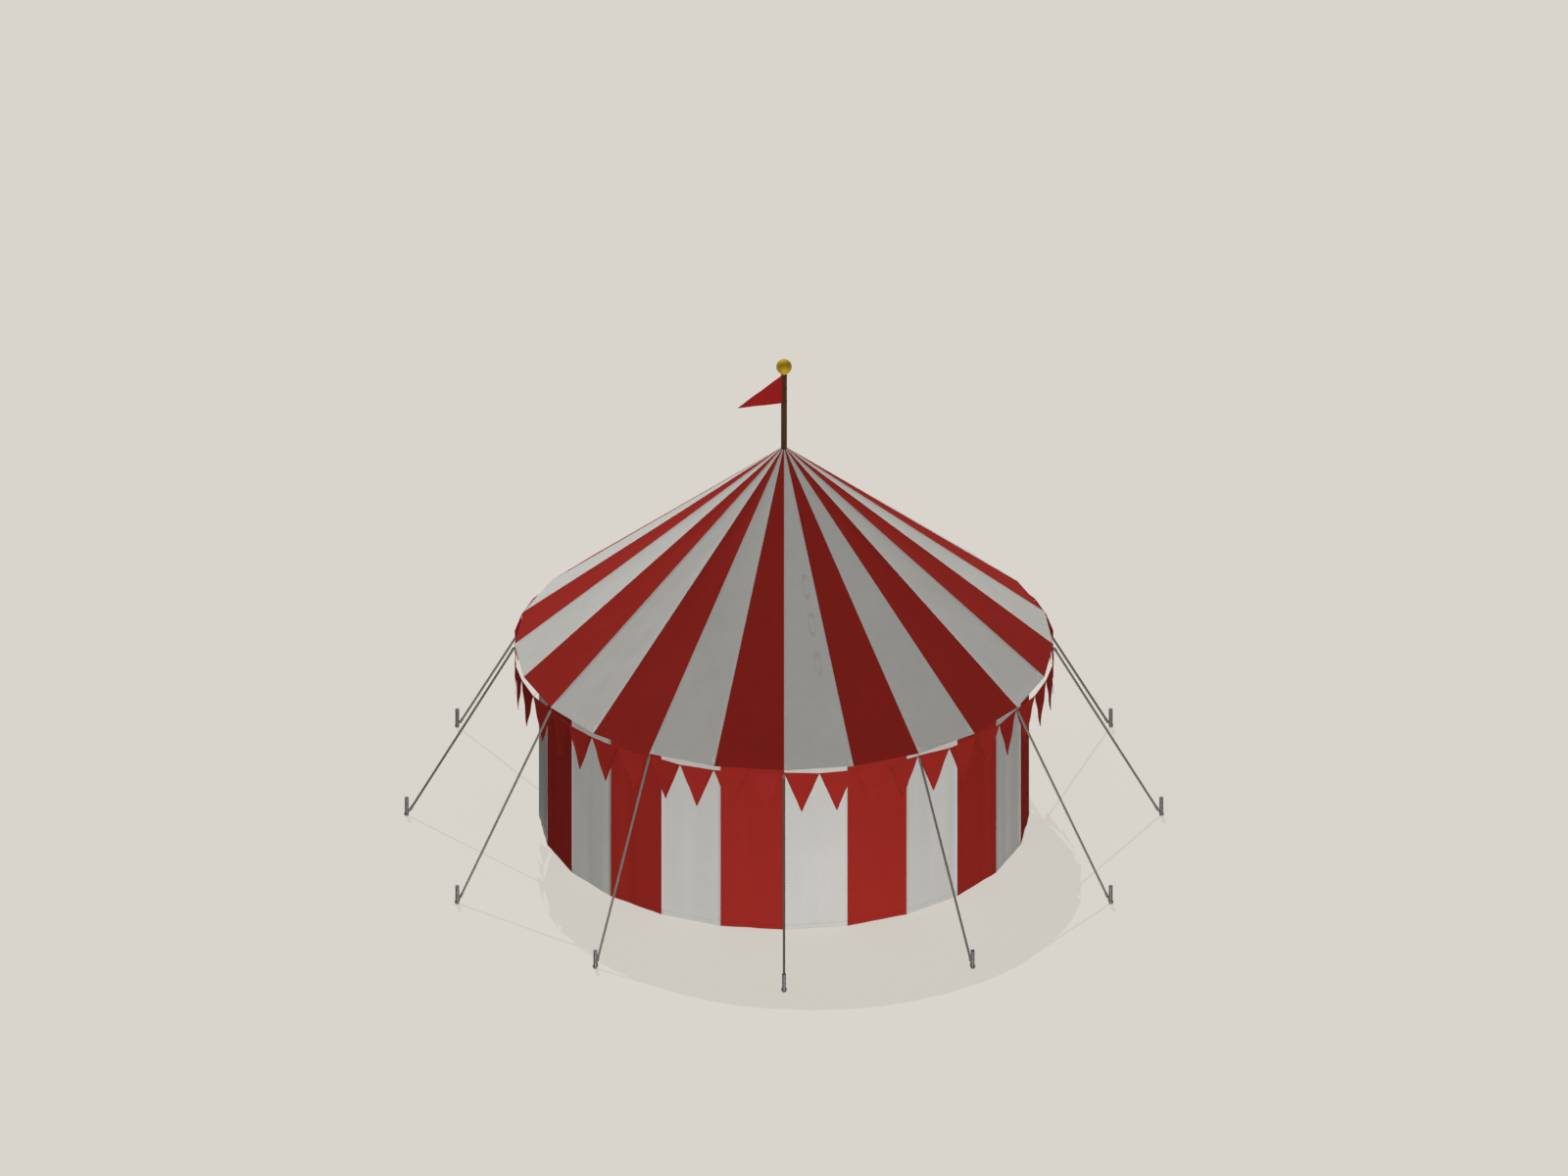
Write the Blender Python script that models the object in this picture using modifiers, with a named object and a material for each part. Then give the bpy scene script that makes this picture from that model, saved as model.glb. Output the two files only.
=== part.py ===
"""A round medieval tent: striped canvas roof and wall on one centre pole.

Metres, +Z up, with the origin at the foot of the centre pole, on the ground. Angles are counted
from the front (-Y), turning towards +X, so a corner of the tent lies at every 15 degrees.
"""

import math

import bmesh
import bpy
from mathutils import Matrix, Vector

# The tent is a ring of flat panels, white and red in turn.
SIDES = 24
PANEL_ANGLE = 360 / SIDES
HALF_PANEL_COS = math.cos(math.radians(PANEL_ANGLE / 2))
CANVAS = 0.006
GAP = 0.0003
WELD_DISTANCE = 0.00001

# Radii are measured to the corners of the ring.
WALL_RADIUS = 2.5
EAVE_RADIUS = 2.75
EAVE_HEIGHT = 1.972
CROWN_RADIUS = 0.05
CROWN_HEIGHT = 4.222
ROOF_RISE = (CROWN_HEIGHT - EAVE_HEIGHT) / (EAVE_RADIUS - CROWN_RADIUS)

# The sewn collar inside the crown and the sewn band inside the eave.
COLLAR_RADIUS = 0.2
COLLAR_THICKNESS = 0.005
BAND_WIDTH = 0.06
BAND_THICKNESS = 0.004
SEAM_LAP = 0.003

POLE_RADIUS = 0.03
POLE_TOP = 5.115
BALL_RADIUS = 0.079
BALL_HEIGHT = 5.177
BALL_SIDES = 32

FLAG_BOTTOM = 4.767
FLAG_TOP = 5.089
FLAG_LENGTH = 0.604
FLAG_ANGLE = 312.1
FLAG_THICKNESS = 0.005

STAKE_CIRCLE = 3.85
STAKE_RADIUS = 0.02
STAKE_HEIGHT = 0.205
STAKE_EDGE = 0.003
STAKE_SIDES = 16
GUY_COUNT = 12
ROPE_RADIUS = 0.013
ROPE_SIDES = 12
RING_SIDES = 8
ROPE_TOP_RADIUS = 2.755
ROPE_TOP_HEIGHT = 1.93
ROPE_RISE = ROPE_TOP_HEIGHT / (STAKE_CIRCLE - ROPE_TOP_RADIUS)

# The bunting hangs just outside the eave, and its tape passes inside each guy rope.
BUNTING_RADIUS = 2.77
PENNANT_TOP = 1.9375
PENNANT_TIP = 1.497
PENNANT_THICKNESS = 0.003
PENNANT_ANGLE = 7.5
PENNANTS_PER_BAY = 4
TAPE_HEIGHT = 0.022
TAPE_THICKNESS = 0.005
STRAP_WIDTH = 0.012
STRAP_THICKNESS = 0.0035
STRAP_SEAM = 0.02
STRAP_SETBACK = 0.002
BUNTING_LENGTHS = 4

# How deep a strap reaches into the tape, and how far down the tape pennants and straps are sewn to it.
STRAP_SEWN_DEPTH = 0.0008
PENNANT_SEWN_SHARE = 0.75
STRAP_SEWN_SHARE = 0.7

# Edges that turn more than this, in degrees, are shown sharp.
SHARP_EDGE = 10

RED = (0.47, 0.035, 0.025)
WHITE = (0.88, 0.87, 0.83)
CRIMSON = (0.42, 0.02, 0.02)
HEMP = (0.30, 0.27, 0.22)
IRON = (0.22, 0.22, 0.23)
DARK_WOOD = (0.10, 0.05, 0.025)
GILT = (0.80, 0.50, 0.12)


def roof_height(radius, depth=0.0):
    """Height of the roof over a radius, or of the surface that lies this deep under its outer face."""
    return EAVE_HEIGHT + (EAVE_RADIUS - radius) * ROOF_RISE - depth * math.hypot(1, ROOF_RISE)


def rope_distance(height):
    """Distance of a guy rope's axis from the centre pole's axis at a height."""
    return STAKE_CIRCLE - height / ROPE_RISE


def clear_scene():
    for item in list(bpy.data.objects):
        bpy.data.objects.remove(item, do_unlink=True)


def new_collection(name):
    collection = bpy.data.collections.new(name)
    bpy.context.scene.collection.children.link(collection)
    return collection


def material(name, colour, roughness, metallic=0.0):
    made = bpy.data.materials.new(name)
    made.use_nodes = True
    made.diffuse_color = (*colour, 1.0)
    shader = made.node_tree.nodes["Principled BSDF"]
    shader.inputs["Base Color"].default_value = (*colour, 1.0)
    shader.inputs["Roughness"].default_value = roughness
    shader.inputs["Metallic"].default_value = metallic
    return made


def turn(degrees):
    return Matrix.Rotation(math.radians(degrees), 4, "Z")


def add_sector(mesh, profile, start, sweep, steps):
    """Adds the solid that a profile of (radius, height) points makes as it turns from one angle on."""
    corners = [mesh.verts.new(turn(start) @ Vector((0, -radius, height))) for radius, height in profile]
    face = mesh.faces.new(corners)
    bmesh.ops.spin(
        mesh,
        geom=[face, *face.edges, *face.verts],
        axis=(0, 0, 1),
        cent=(0, 0, 0),
        angle=math.radians(sweep),
        steps=steps,
    )


def add_panels(mesh, profile, first):
    """Adds every second panel of the ring, from the given one on, each cut back for the seams."""
    trim = math.degrees(GAP / 2 / EAVE_RADIUS)
    for panel in range(first, SIDES, 2):
        add_sector(mesh, profile, panel * PANEL_ANGLE + trim, PANEL_ANGLE - 2 * trim, 1)


def mesh_object(name, mesh, collection):
    bmesh.ops.recalc_face_normals(mesh, faces=mesh.faces)
    data = bpy.data.meshes.new(name)
    mesh.to_mesh(data)
    mesh.free()
    made = bpy.data.objects.new(name, data)
    collection.objects.link(made)
    return made


def ring_object(name, profile, collection):
    """A closed profile turned right round, with one flat side for each panel."""
    mesh = bmesh.new()
    corners = [mesh.verts.new((0, -radius, height)) for radius, height in profile]
    for here, after in zip(corners, corners[1:] + corners[:1]):
        mesh.edges.new((here, after))
    data = bpy.data.meshes.new(name)
    mesh.to_mesh(data)
    mesh.free()
    ring = bpy.data.objects.new(name, data)
    collection.objects.link(ring)
    screw = ring.modifiers.new("Turn", "SCREW")
    screw.axis = "Z"
    screw.steps = SIDES
    screw.render_steps = SIDES
    screw.use_merge_vertices = True
    screw.merge_threshold = WELD_DISTANCE
    screw.use_normal_calculate = True
    return applied(ring)


def applied(item):
    """The object with its modifiers applied and its faces turned outwards. A curve becomes a mesh."""
    bpy.context.view_layer.update()
    graph = bpy.context.evaluated_depsgraph_get()
    data = bpy.data.meshes.new_from_object(item.evaluated_get(graph))
    mesh = bmesh.new()
    mesh.from_mesh(data)
    bmesh.ops.remove_doubles(mesh, verts=mesh.verts, dist=WELD_DISTANCE)
    bmesh.ops.recalc_face_normals(mesh, faces=mesh.faces)
    mesh.to_mesh(data)
    mesh.free()
    item.modifiers.clear()
    if item.type == "MESH":
        item.data = data
        return item
    made = bpy.data.objects.new(item.name, data)
    made.matrix_world = item.matrix_world
    item.users_collection[0].objects.link(made)
    name = item.name
    bpy.data.objects.remove(item, do_unlink=True)
    made.name = name
    return made


def combine(item, other, operation):
    """Joins another object to this one, or cuts it away, and keeps the other out of the render."""
    change = item.modifiers.new(other.name, "BOOLEAN")
    change.operation = operation
    change.solver = "EXACT"
    change.object = other
    other.hide_render = True
    other.display_type = "WIRE"
    return applied(item)


def adopt_new(name, collection):
    """Names the primitive that was just added and moves it to a collection, with its transform applied."""
    bpy.ops.object.transform_apply(location=True, rotation=True, scale=True)
    made = bpy.context.object
    made.name = name
    for old in made.users_collection:
        old.objects.unlink(made)
    collection.objects.link(made)
    return made


def rod(name, radius, foot, top, sides, collection):
    """A straight round bar from one point to another."""
    foot = Vector(foot)
    top = Vector(top)
    bpy.ops.mesh.primitive_cylinder_add(
        vertices=sides,
        radius=radius,
        depth=(top - foot).length,
        location=(top + foot) / 2,
        rotation=(top - foot).to_track_quat("Z", "Y").to_euler(),
    )
    return adopt_new(name, collection)


def flat_plates(name, outlines, thickness, collection, upright=True):
    """Flat plates from outlines, centred on the XZ plane if they stand upright, or else on the XY plane."""
    curve = bpy.data.curves.new(name, "CURVE")
    curve.dimensions = "2D"
    curve.fill_mode = "BOTH"
    curve.extrude = thickness / 2
    for outline in outlines:
        spline = curve.splines.new("POLY")
        spline.points.add(len(outline) - 1)
        for point, (first, second) in zip(spline.points, outline):
            point.co = (first, second, 0, 1)
        spline.use_cyclic_u = True
    made = bpy.data.objects.new(name, curve)
    collection.objects.link(made)
    if upright:
        made.rotation_euler = (math.radians(90), 0, 0)
    return applied(made)


def repeat(item, names, step, parent, collection):
    """Copies of one piece round the centre pole, which share its mesh. The first is the piece itself."""
    for number, name in enumerate(names):
        copy = item if number == 0 else bpy.data.objects.new(name, item.data)
        copy.name = name
        if number:
            collection.objects.link(copy)
        copy.rotation_euler = (0, 0, math.radians(number * step))
        copy.parent = parent


def dress(item, *materials):
    item.data.materials.clear()
    for made in materials:
        item.data.materials.append(made)
    item.data.shade_smooth()
    item.data.set_sharp_from_angle(angle=math.radians(SHARP_EDGE))


def make_pole(parts, wood):
    pole = rod("centre_pole", POLE_RADIUS, (0, 0, 0), (0, 0, POLE_TOP), SIDES, parts)
    dress(pole, wood)
    return pole


def make_ball(parts, cutters, gilt):
    """A hollowed ball that sits over the end of the pole."""
    bpy.ops.mesh.primitive_uv_sphere_add(
        segments=BALL_SIDES, ring_count=BALL_SIDES // 2, radius=BALL_RADIUS, location=(0, 0, BALL_HEIGHT)
    )
    ball = adopt_new("finial_ball", parts)
    mouth = (0, 0, BALL_HEIGHT - 2 * BALL_RADIUS)
    end = (0, 0, POLE_TOP + GAP)
    socket = rod("ball_socket", POLE_RADIUS + GAP, mouth, end, SIDES, cutters)
    ball = combine(ball, socket, "DIFFERENCE")
    dress(ball, gilt)
    return ball


def make_flag(parts, crimson):
    """A pennant that flies from the side of the pole."""
    hoist = POLE_RADIUS + GAP
    middle = (FLAG_BOTTOM + FLAG_TOP) / 2
    outline = [(hoist, FLAG_BOTTOM), (hoist + FLAG_LENGTH, middle), (hoist, FLAG_TOP)]
    flag = flat_plates("flag", [outline], FLAG_THICKNESS, parts)
    flag.rotation_euler.z = math.radians(FLAG_ANGLE - 90)
    dress(flag, crimson)
    return flag


def roof_layer(inner, outer, top, bottom):
    """The four corners of a layer of the roof, between two radii and two depths under its outer face."""
    return [
        (inner, roof_height(inner, top)),
        (outer, roof_height(outer, top)),
        (outer, roof_height(outer, bottom)),
        (inner, roof_height(inner, bottom)),
    ]


def make_gores(name, first, lap, ring, collections, canvas):
    """Every second gore of the roof, joined by a ring that is sewn to its inside.

    lap and ring are layers of the roof. At the lap the gores are thicker, and reach into the ring.
    """
    parts, cutters = collections
    outer_face, eave, eave_inside, crown_inside = roof_layer(CROWN_RADIUS, EAVE_RADIUS, 0, CANVAS)
    lap_inner, lap_outer = lap[0][0], lap[1][0]
    gore = [
        outer_face,
        eave,
        eave_inside,
        (lap_outer, roof_height(lap_outer, CANVAS)),
        lap[2],
        lap[3],
        (lap_inner, roof_height(lap_inner, CANVAS)),
        crown_inside,
    ]
    mesh = bmesh.new()
    add_panels(mesh, gore, first)
    roof = mesh_object(name, mesh, parts)
    roof = combine(roof, ring_object(f"{name}_ring", ring, cutters), "UNION")
    dress(roof, canvas)
    return roof


def make_red_roof(collections, red):
    """The red gores, joined by the collar that holds the crown to the pole."""
    depth = CANVAS + GAP
    collar = roof_layer(POLE_RADIUS + GAP, COLLAR_RADIUS, depth, depth + COLLAR_THICKNESS)
    lap_depth = depth + COLLAR_THICKNESS / 2
    lap = roof_layer(CROWN_RADIUS + SEAM_LAP, COLLAR_RADIUS - SEAM_LAP, 0, lap_depth)
    return make_gores("roof_red_gores", 1, lap, collar, collections, red)


def make_white_roof(collections, white):
    """The white gores, joined by the band that stiffens the eave."""
    depth = CANVAS + GAP
    inner = EAVE_RADIUS - BAND_WIDTH
    outer = EAVE_RADIUS - SEAM_LAP
    band = roof_layer(inner, outer, depth, depth + BAND_THICKNESS)
    lap = roof_layer(inner + SEAM_LAP, outer - SEAM_LAP, 0, depth + BAND_THICKNESS / 2)
    return make_gores("roof_white_gores", 0, lap, band, collections, white)


def make_wall_bay(parts, white, red):
    """One length of wall between two guy ropes: a white panel and a red one, sewn together."""
    inner = WALL_RADIUS - CANVAS
    top = roof_height(WALL_RADIUS, CANVAS + GAP)
    inner_top = roof_height(inner, CANVAS + GAP)
    profile = [(inner, 0), (WALL_RADIUS, 0), (WALL_RADIUS, top), (inner, inner_top)]
    trim = math.degrees(GAP / 2 / WALL_RADIUS)
    mesh = bmesh.new()
    add_sector(mesh, profile, trim, 2 * PANEL_ANGLE - 2 * trim, 2)
    bay = mesh_object("wall_bay_01", mesh, parts)
    dress(bay, white, red)
    for face in bay.data.polygons:
        angle = math.degrees(math.atan2(face.center.x, -face.center.y))
        face.material_index = int(angle > PANEL_ANGLE)
    return bay


def make_rope(parts, cutters, hemp):
    """One taut guy rope, from under the eave to the ring that it makes round its stake."""
    ring_radius = STAKE_RADIUS + GAP + ROPE_RADIUS
    ring_height = ring_radius * ROPE_RISE
    low = (0, -rope_distance(ring_height), ring_height)
    high = (0, -rope_distance(EAVE_HEIGHT), EAVE_HEIGHT)
    rope = rod("guy_rope_01", ROPE_RADIUS, low, high, ROPE_SIDES, parts)
    bpy.ops.mesh.primitive_torus_add(
        major_radius=ring_radius,
        minor_radius=ROPE_RADIUS,
        major_segments=STAKE_SIDES,
        minor_segments=RING_SIDES,
        location=(0, -STAKE_CIRCLE, ring_height),
    )
    rope = combine(rope, adopt_new("rope_ring", cutters), "UNION")
    over_eave = roof_layer(
        EAVE_RADIUS - BAND_WIDTH,
        EAVE_RADIUS + BAND_WIDTH,
        -BAND_WIDTH,
        CANVAS + GAP + BAND_THICKNESS + GAP,
    )
    mesh = bmesh.new()
    add_sector(mesh, over_eave, -PANEL_ANGLE, 2 * PANEL_ANGLE, 2)
    rope = combine(rope, mesh_object("space_over_eave", mesh, cutters), "DIFFERENCE")
    dress(rope, hemp)
    return rope


def make_stake(parts, iron):
    foot = (0, -STAKE_CIRCLE, 0)
    stake = rod("guy_stake_01", STAKE_RADIUS, foot, (0, -STAKE_CIRCLE, STAKE_HEIGHT), STAKE_SIDES, parts)
    top = stake.vertex_groups.new(name="top")
    top.add([v.index for v in stake.data.vertices if v.co.z > STAKE_HEIGHT / 2], 1.0, "REPLACE")
    edge = stake.modifiers.new("Worn top edge", "BEVEL")
    edge.width = STAKE_EDGE
    edge.segments = 1
    edge.limit_method = "VGROUP"
    edge.vertex_group = "top"
    stake = applied(stake)
    dress(stake, iron)
    return stake


def bunting_corner(step, shift=0.0):
    """A corner of the bunting's tape, counted from a guy rope, moved outwards by shift."""
    radius = BUNTING_RADIUS
    if step % PENNANTS_PER_BAY == 0:
        rope_reach = ROPE_RADIUS * math.hypot(1, 1 / ROPE_RISE)
        radius = rope_distance(PENNANT_TOP) - rope_reach - GAP - TAPE_THICKNESS / 2
    return turn(step * PENNANT_ANGLE) @ Vector((0, -radius - shift, 0))


def make_tape(steps, collection):
    """The tape of a length of bunting: an outline seen from above, as high as the tape."""
    outer = [bunting_corner(step, TAPE_THICKNESS / 2) for step in range(steps + 1)]
    inner = [bunting_corner(step, -TAPE_THICKNESS / 2) for step in range(steps + 1)]
    trim = math.degrees(GAP / 2 / BUNTING_RADIUS)
    for side in (outer, inner):
        side[0] = turn(trim) @ side[0]
        side[-1] = turn(-trim) @ side[-1]
    outline = [(point.x, point.y) for point in outer + inner[::-1]]
    tape = flat_plates("bunting", [outline], TAPE_HEIGHT, collection, upright=False)
    tape.data.transform(Matrix.Translation((0, 0, PENNANT_TOP - TAPE_HEIGHT / 2)))
    return tape


def pennant_outline(width):
    """A triangle whose upper edge is sewn to the lower part of the tape."""
    sewn_at = PENNANT_TOP - TAPE_HEIGHT * PENNANT_SEWN_SHARE
    half_width = width / 2 * (sewn_at - PENNANT_TIP) / (PENNANT_TOP - PENNANT_TIP)
    return [(-half_width, sewn_at), (0, PENNANT_TIP), (half_width, sewn_at)]


def strap_outline():
    """Side view of a strap that is sewn flat under the eave band and comes out to the tape."""
    depth = CANVAS + GAP + BAND_THICKNESS + GAP
    drop = STRAP_THICKNESS * math.hypot(1, ROOF_RISE)
    seam_end = (EAVE_RADIUS - SEAM_LAP) * HALF_PANEL_COS - STRAP_SETBACK
    seam_start = seam_end - STRAP_SEAM
    foot = BUNTING_RADIUS - TAPE_THICKNESS / 2 + STRAP_SEWN_DEPTH
    foot_top = PENNANT_TOP - TAPE_HEIGHT * STRAP_SEWN_SHARE
    top_end = roof_height(seam_end / HALF_PANEL_COS, depth)
    top_start = roof_height(seam_start / HALF_PANEL_COS, depth)
    return [
        (foot, foot_top),
        (seam_end, top_end),
        (seam_start, top_start),
        (seam_start, top_start - drop),
        (seam_end - STRAP_SETBACK, top_end - drop + STRAP_SETBACK * ROOF_RISE),
        (foot, foot_top - drop),
    ]


def add_copy(mesh, plate, place):
    """Adds a plate to a mesh at a place, and removes the plate's own object."""
    before = len(mesh.verts)
    mesh.from_mesh(plate.data)
    mesh.verts.ensure_lookup_table()
    bmesh.ops.transform(mesh, matrix=place @ plate.matrix_world, verts=mesh.verts[before:])
    bpy.data.objects.remove(plate, do_unlink=True)


def make_bunting(parts, cutters, red):
    """A quarter of the string of pennants: a tape with pennants, and a strap on each red panel."""
    steps = GUY_COUNT // BUNTING_LENGTHS * PENNANTS_PER_BAY
    bunting = make_tape(steps, parts)
    plates = bmesh.new()
    for step in range(steps):
        start, end = bunting_corner(step), bunting_corner(step + 1)
        run = end - start
        plate = flat_plates("pennant", [pennant_outline(run.length)], PENNANT_THICKNESS, cutters)
        place = Matrix.Translation((start + end) / 2) @ turn(math.degrees(math.atan2(run.y, run.x)))
        add_copy(plates, plate, place)
    for panel in range(1, SIDES // BUNTING_LENGTHS, 2):
        plate = flat_plates("strap", [strap_outline()], STRAP_WIDTH, cutters)
        add_copy(plates, plate, turn((panel + 0.5) * PANEL_ANGLE - 90))
    bunting = combine(bunting, mesh_object("plates", plates, cutters), "UNION")
    dress(bunting, red)
    return bunting


def numbered(name, count):
    return [f"{name}_{number:02d}" for number in range(1, count + 1)]


def main():
    clear_scene()
    parts = new_collection("medieval_tent")
    cutters = new_collection("cutters")
    collections = (parts, cutters)

    white = material("white_canvas", WHITE, 0.85)
    red = material("red_canvas", RED, 0.85)
    crimson = material("crimson_cloth", CRIMSON, 0.8)
    hemp = material("hemp_rope", HEMP, 0.9)
    iron = material("stake_iron", IRON, 0.5, 0.8)
    wood = material("dark_wood", DARK_WOOD, 0.6)
    gilt = material("gilt_metal", GILT, 0.3, 1.0)

    tent = bpy.data.objects.new("tent", None)
    parts.objects.link(tent)

    single_pieces = (
        make_pole(parts, wood),
        make_ball(parts, cutters, gilt),
        make_flag(parts, crimson),
        make_red_roof(collections, red),
        make_white_roof(collections, white),
    )
    for piece in single_pieces:
        piece.parent = tent

    guy_step = 360 / GUY_COUNT
    bay = make_wall_bay(parts, white, red)
    repeat(bay, numbered("wall_bay", SIDES // 2), 2 * PANEL_ANGLE, tent, parts)
    rope = make_rope(parts, cutters, hemp)
    repeat(rope, numbered("guy_rope", GUY_COUNT), guy_step, tent, parts)
    stake = make_stake(parts, iron)
    repeat(stake, numbered("guy_stake", GUY_COUNT), guy_step, tent, parts)
    bunting = make_bunting(parts, cutters, red)
    quarters = ("front_right", "back_right", "back_left", "front_left")
    names = [f"bunting_{quarter}" for quarter in quarters]
    repeat(bunting, names, 360 / BUNTING_LENGTHS, tent, parts)


main()
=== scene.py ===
"""Looks of a round medieval tent: striped canvas on one pole, bunting, laid ropes, iron stakes and a flag.

Metres, +Z up. Angles are in degrees from the front (-Y), turning towards +X, so a corner of the
tent lies at every 15 degrees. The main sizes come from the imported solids.
"""

import math

import bpy
import numpy as np
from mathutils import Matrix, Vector, noise


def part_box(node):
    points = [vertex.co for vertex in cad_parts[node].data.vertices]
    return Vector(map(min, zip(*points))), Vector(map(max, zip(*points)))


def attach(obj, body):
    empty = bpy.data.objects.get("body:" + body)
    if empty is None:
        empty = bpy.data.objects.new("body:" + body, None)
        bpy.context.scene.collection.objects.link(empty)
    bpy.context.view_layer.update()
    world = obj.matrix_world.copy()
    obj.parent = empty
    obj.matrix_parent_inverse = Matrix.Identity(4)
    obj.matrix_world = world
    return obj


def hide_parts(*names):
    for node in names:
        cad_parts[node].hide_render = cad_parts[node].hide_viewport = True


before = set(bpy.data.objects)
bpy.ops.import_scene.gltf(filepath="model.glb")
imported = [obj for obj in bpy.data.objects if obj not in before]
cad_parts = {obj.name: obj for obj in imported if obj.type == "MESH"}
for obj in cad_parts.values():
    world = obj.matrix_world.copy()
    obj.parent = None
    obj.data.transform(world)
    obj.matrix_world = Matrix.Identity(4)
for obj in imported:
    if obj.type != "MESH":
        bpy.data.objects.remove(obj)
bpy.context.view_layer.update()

# A corner lies on a face when it is this near. The crown's opening leaves the pole a little room.
TOUCH = 0.001
CROWN_ROOM = 0.003


def points_of(node):
    """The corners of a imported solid, with their distances from the centre pole's axis."""
    points = np.array([corner.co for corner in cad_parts[node].data.vertices])
    return points, np.hypot(points[:, 0], points[:, 1])


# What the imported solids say.
roof, roof_radii = points_of("roof_white_gores")
_, wall_radii = points_of("wall_bay_01")
flag_points, flag_radii = points_of("flag")
stake_low, stake_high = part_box("guy_stake_01")
pole_low, pole_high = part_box("centre_pole")
ball_low, ball_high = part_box("finial_ball")
bunting, bunting_radii = points_of("bunting_front_right")

EAVE_RADIUS = roof_radii.max()
EAVE_HEIGHT = roof[roof_radii > EAVE_RADIUS - TOUCH, 2].max()
CROWN_HEIGHT = roof[:, 2].max()
CROWN_RADIUS = roof_radii[roof[:, 2] > CROWN_HEIGHT - TOUCH].max()
ROOF_RISE = (CROWN_HEIGHT - EAVE_HEIGHT) / (EAVE_RADIUS - CROWN_RADIUS)
ROOF_SLANT = math.hypot(1, ROOF_RISE)
WALL_RADIUS = wall_radii.max()
POLE_RADIUS = (pole_high.x - pole_low.x) / 2
POLE_TOP = pole_high.z
BALL_RADIUS = (ball_high.x - ball_low.x) / 2
BALL_HEIGHT = ball_high.z - BALL_RADIUS
TOP_RADIUS = POLE_RADIUS + CROWN_ROOM
STAKE_RADIUS = (stake_high.x - stake_low.x) / 2
STAKE_HEIGHT = stake_high.z
STAKE_CIRCLE = -(stake_high.y + stake_low.y) / 2
FLAG_HOIST = flag_radii.min()
FLAG_FLY = flag_radii.max()
FLAG_LOW = flag_points[:, 2].min()
FLAG_HIGH = flag_points[:, 2].max()
TAPE_RADIUS = bunting_radii.max()
TAPE_RADIUS_AT_ROPE = bunting_radii[np.abs(bunting[:, 0]) < TOUCH].max()
PENNANT_TOP = bunting[bunting_radii > TAPE_RADIUS - TOUCH, 2].max()
PENNANT_TIP = bunting[:, 2].min()

# The ring of panels, and what hangs on it.
SIDES = 24
PANEL_ANGLE = 360 / SIDES
HALF_ANGLE = math.radians(PANEL_ANGLE / 2)
GUY_COUNT = 12
GUY_ANGLE = 360 / GUY_COUNT
FLAG_ANGLE = 312.1
PENNANTS_PER_BAY = 4
PENNANT_ANGLE = GUY_ANGLE / PENNANTS_PER_BAY
QUARTERS = ("front_right", "back_right", "back_left", "front_left")
PANELS_PER_QUARTER = SIDES // len(QUARTERS)
PENNANTS_PER_QUARTER = GUY_COUNT * PENNANTS_PER_BAY // len(QUARTERS)

# Cloth thicknesses and sewn widths.
CANVAS = 0.0025
FOLD_HEIGHT = 0.0012
FOLD_STEP = 0.0012
PLAIN_EDGE = 0.01
SEAM_WIDTH = 0.014
EAVE_HEM = 0.045
WALL_HEM = 0.05
WALL_HEAD = 0.035
WALL_ROOM = 0.0008
FOOT_ROOM = 0.0005
BAND_WIDTH = 0.06
BAND_THICKNESS = 0.004
BAND_SETBACK = 0.008
COLLAR_RADIUS = 0.2
COLLAR_ROOM = 0.0005
PLY = 0.0002
TAPE_HEIGHT = 0.012
TAPE_THICKNESS = 0.004
TIE_RADIUS = 0.0016
TIE_SEAM = 0.02
PATCH_WIDTH = 0.06
PATCH_CLOTH = 0.0015
PENNANT_CLOTH = 0.0016
PENNANT_HEM = 0.009
PENNANT_FOLD = 0.0006
FLAG_CLOTH = 0.002
FLAG_HEM = 0.012
FLAG_FOLD = 0.0007
FLAG_HEAD = 0.022
PENNANT_TIP_WIDTH = 0.009
FLAG_TIP_WIDTH = 0.006
STITCH_LENGTH = 0.006
STITCH_WIDTH = 0.0016
STITCH_SHARE = 0.72

# A distance from seams and hems at which nothing is sewn.
FAR = 9.0

# How far cloth stands out from its flat shape.
GORE_SAG = 0.007
PLEAT_DEPTH = 0.0016
ROPE_PULL = 0.0024
GORE_FOLDS = 0.0011
WALL_FOLDS = 0.0062
WALL_RIPPLES = 0.0011
PENNANT_CURL = 0.010
PENNANT_TWIST = 0.05
PENNANT_WAVE = 0.004

# Rope. Each guy runs straight to its stake from a becket, a short cord sewn to the eave.
ROPE_RADIUS = 0.013
ROPE_TOP = (2.755, 1.93)
ROPE_RISE = ROPE_TOP[1] / (STAKE_CIRCLE - ROPE_TOP[0])
ROPE_LAY = 0.085
THROAT_HEIGHT = 0.066
BECKET_RADIUS = 0.004
BECKET_TUCK = 0.045
BECKET_SPLICE = 0.02
BECKET_LAY = 0.03
EYE_ROPE_RADIUS = 0.0045
EYE_LAY = 0.04
EYE_HEIGHT = 0.028
EYE_TILT = 0.014
EYE_OPENING = 125
TWINE_RADIUS = 0.0012
LOW_SERVING = (THROAT_HEIGHT - 0.006, THROAT_HEIGHT + 0.036)
HIGH_SERVING = (ROPE_TOP[1] - 0.04, ROPE_TOP[1] - 0.007)
LASHING_RADIUS = 0.0014
LASHING_CLIMB = 4.2
LASHING_INSET = 0.015

# What the smith, the axe and the ball's two halves leave.
STAKE_SPREAD = 0.0006
STAKE_EDGE = 0.0035
STAKE_CROWN = 0.0003
STAKE_WASTE = 0.0002
STAKE_FLARE = 0.0008
FLARE_FADE = 0.012
POLE_EDGE = 0.003
POLE_WASTE = 0.0003
BALL_JOINT = 0.0007
BALL_LIP = 0.0025

# How pale each rope is, from the front one on: painted shade, so that some ropes look less lit than others.
ROPE_PAINTED_SHADE = (0.47, 0.78, 1.0, 0.78, 0.55, 0.9, 1.0, 0.95, 0.85, 0.6, 1.0, 1.0)

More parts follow.
